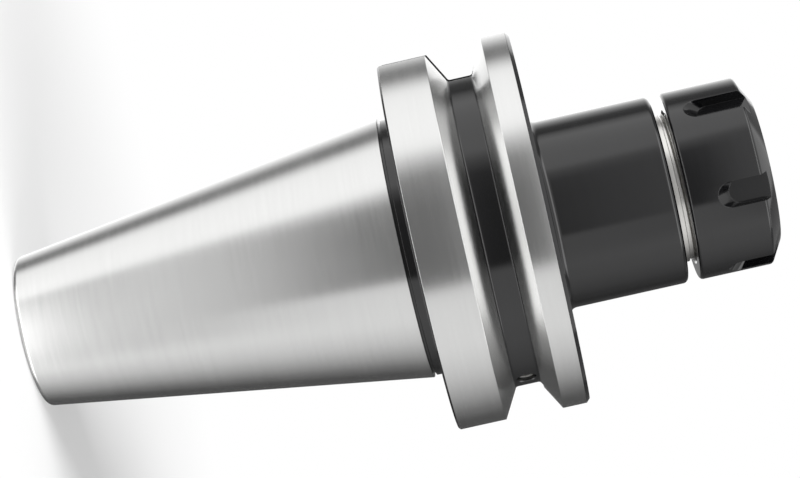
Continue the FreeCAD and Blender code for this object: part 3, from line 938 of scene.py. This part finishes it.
def floor_material(studio, shade):
    """Pale floor that keeps the shadow near the holder and fades to the white background."""
    material, tree, shader = new_material("pale_floor")
    shader.inputs["Base Color"].default_value = (*shade, 1)
    shader.inputs["Roughness"].default_value = 0.9
    shader.inputs["Specular IOR Level"].default_value = 0.0
    place = add_node(tree, "ShaderNodeTexCoord").outputs["Object"]
    reach = add_node(tree, "ShaderNodeVectorMath", {0: place}, operation="LENGTH").outputs["Value"]
    away = add_node(tree, "ShaderNodeMapRange", {
        "Value": reach, "From Min": studio.floor_fade * 0.3, "From Max": studio.floor_fade},
        interpolation_type="SMOOTHSTEP").outputs[0]
    rays = add_node(tree, "ShaderNodeLightPath").outputs
    seen = maths(tree, "MULTIPLY", away, rays["Is Camera Ray"])
    white = add_node(tree, "ShaderNodeEmission", {"Color": (1, 1, 1, 1), "Strength": 1.0})
    mix = add_node(tree, "ShaderNodeMixShader", {0: seen, 1: shader.outputs[0], 2: white.outputs[0]})
    output = next(node for node in tree.nodes if node.type == "OUTPUT_MATERIAL")
    tree.links.new(mix.outputs[0], output.inputs["Surface"])
    return material


def add_floor(studio, shade):
    """Flat floor under the small end."""
    bm = bmesh.new()
    bmesh.ops.create_circle(bm, cap_ends=True, segments=96, radius=6.0)
    mesh = finished_mesh("floor", bm)
    mesh.materials.append(floor_material(studio, shade))
    floor = add_object("floor", mesh)
    floor.visible_glossy = False


def add_world(studio):
    """White to the camera and to gloss, and a plain level for the rest."""
    world = bpy.data.worlds.new("studio")
    world.use_nodes = True
    bpy.context.scene.world = world
    tree = world.node_tree
    tree.nodes.clear()
    rays = add_node(tree, "ShaderNodeLightPath").outputs
    seen = maths(tree, "MAXIMUM", rays["Is Camera Ray"], rays["Is Glossy Ray"])
    seen = maths(tree, "MAXIMUM", seen, rays["Is Transmission Ray"])
    strength = add_node(tree, "ShaderNodeMapRange", {"Value": seen, "To Min": studio.world_fill, "To Max": 1.0})
    background = add_node(tree, "ShaderNodeBackground", {"Color": (1, 1, 1, 1), "Strength": strength.outputs[0]})
    add_node(tree, "ShaderNodeOutputWorld", {"Surface": background.outputs[0]})


def add_lamp(name, place, target, size, power):
    """Square soft lamp that isn't seen in the steel, where the tent shows instead."""
    data = bpy.data.lights.new(name, "AREA")
    data.shape = "SQUARE"
    data.size = size
    data.energy = power
    lamp = add_object(name, data)
    lamp.location = place
    lamp.rotation_euler = (target - place).to_track_quat("-Z", "Y").to_euler()
    lamp.visible_glossy = False


class ColletHolderStage(bpy.types.Operator):
    """Sets up the camera, the floor, the light tent, the lamps and the world"""
    bl_idname = "collet_holder.stage"
    bl_label = "Stage"

    def execute(self, context):
        settings = context.scene.collet_holder
        studio = settings.studio
        add_camera(studio)
        add_tent(studio)
        add_floor(studio, settings.colours.floor)
        add_world(studio)
        to_camera, to_top = view_axes(studio)
        middle = Vector((0, 0, 0.1))
        add_lamp("key_lamp", to_camera * 0.5 + to_top * 0.6 + Vector((0, 0, 0.9)), middle, 0.7, studio.key_power)
        add_lamp("fill_lamp", to_camera * 0.7 - to_top * 0.6 + Vector((0, 0, 0.7)), middle, 0.7,
                 studio.key_power * 0.5)
        context.scene.view_settings.view_transform = "Standard"
        return {"FINISHED"}


class ColletHolderPanel(bpy.types.Panel):
    """Lists the holder's operators in the sidebar"""
    bl_label = "Collet Chuck Holder"
    bl_idname = "VIEW3D_PT_collet_holder"
    bl_space_type = "VIEW_3D"
    bl_region_type = "UI"
    bl_category = "Collet Holder"

    def draw(self, context):
        for operator in OPERATORS:
            self.layout.operator(operator.bl_idname)
        settings = context.scene.collet_holder
        for group in ("shank", "flange", "nose", "nut", "thread", "colours", "studio"):
            box = self.layout.box()
            box.label(text=group.capitalize())
            sizes = getattr(settings, group)
            for name in sizes.__annotations__:
                box.prop(sizes, name)


SETTINGS = (ShankSizes, FlangeSizes, NoseSizes, NutSizes, ThreadSizes, FinishColours, StudioSettings,
            ColletHolderSettings)
OPERATORS = (ColletHolderBody, ColletHolderNut, ColletHolderThreads, ColletHolderKeptNodes, ColletHolderStage)


def register():
    for cls in SETTINGS + OPERATORS + (ColletHolderPanel,):
        bpy.utils.register_class(cls)
    bpy.types.Scene.collet_holder = PointerProperty(type=ColletHolderSettings)


def unregister():
    del bpy.types.Scene.collet_holder
    for cls in reversed(SETTINGS + OPERATORS + (ColletHolderPanel,)):
        bpy.utils.unregister_class(cls)


def main():
    register()
    bpy.ops.collet_holder.body()
    bpy.ops.collet_holder.nut()
    bpy.ops.collet_holder.threads()
    bpy.ops.collet_holder.kept_nodes()
    bpy.ops.collet_holder.stage()


if __name__ == "__main__":
    main()
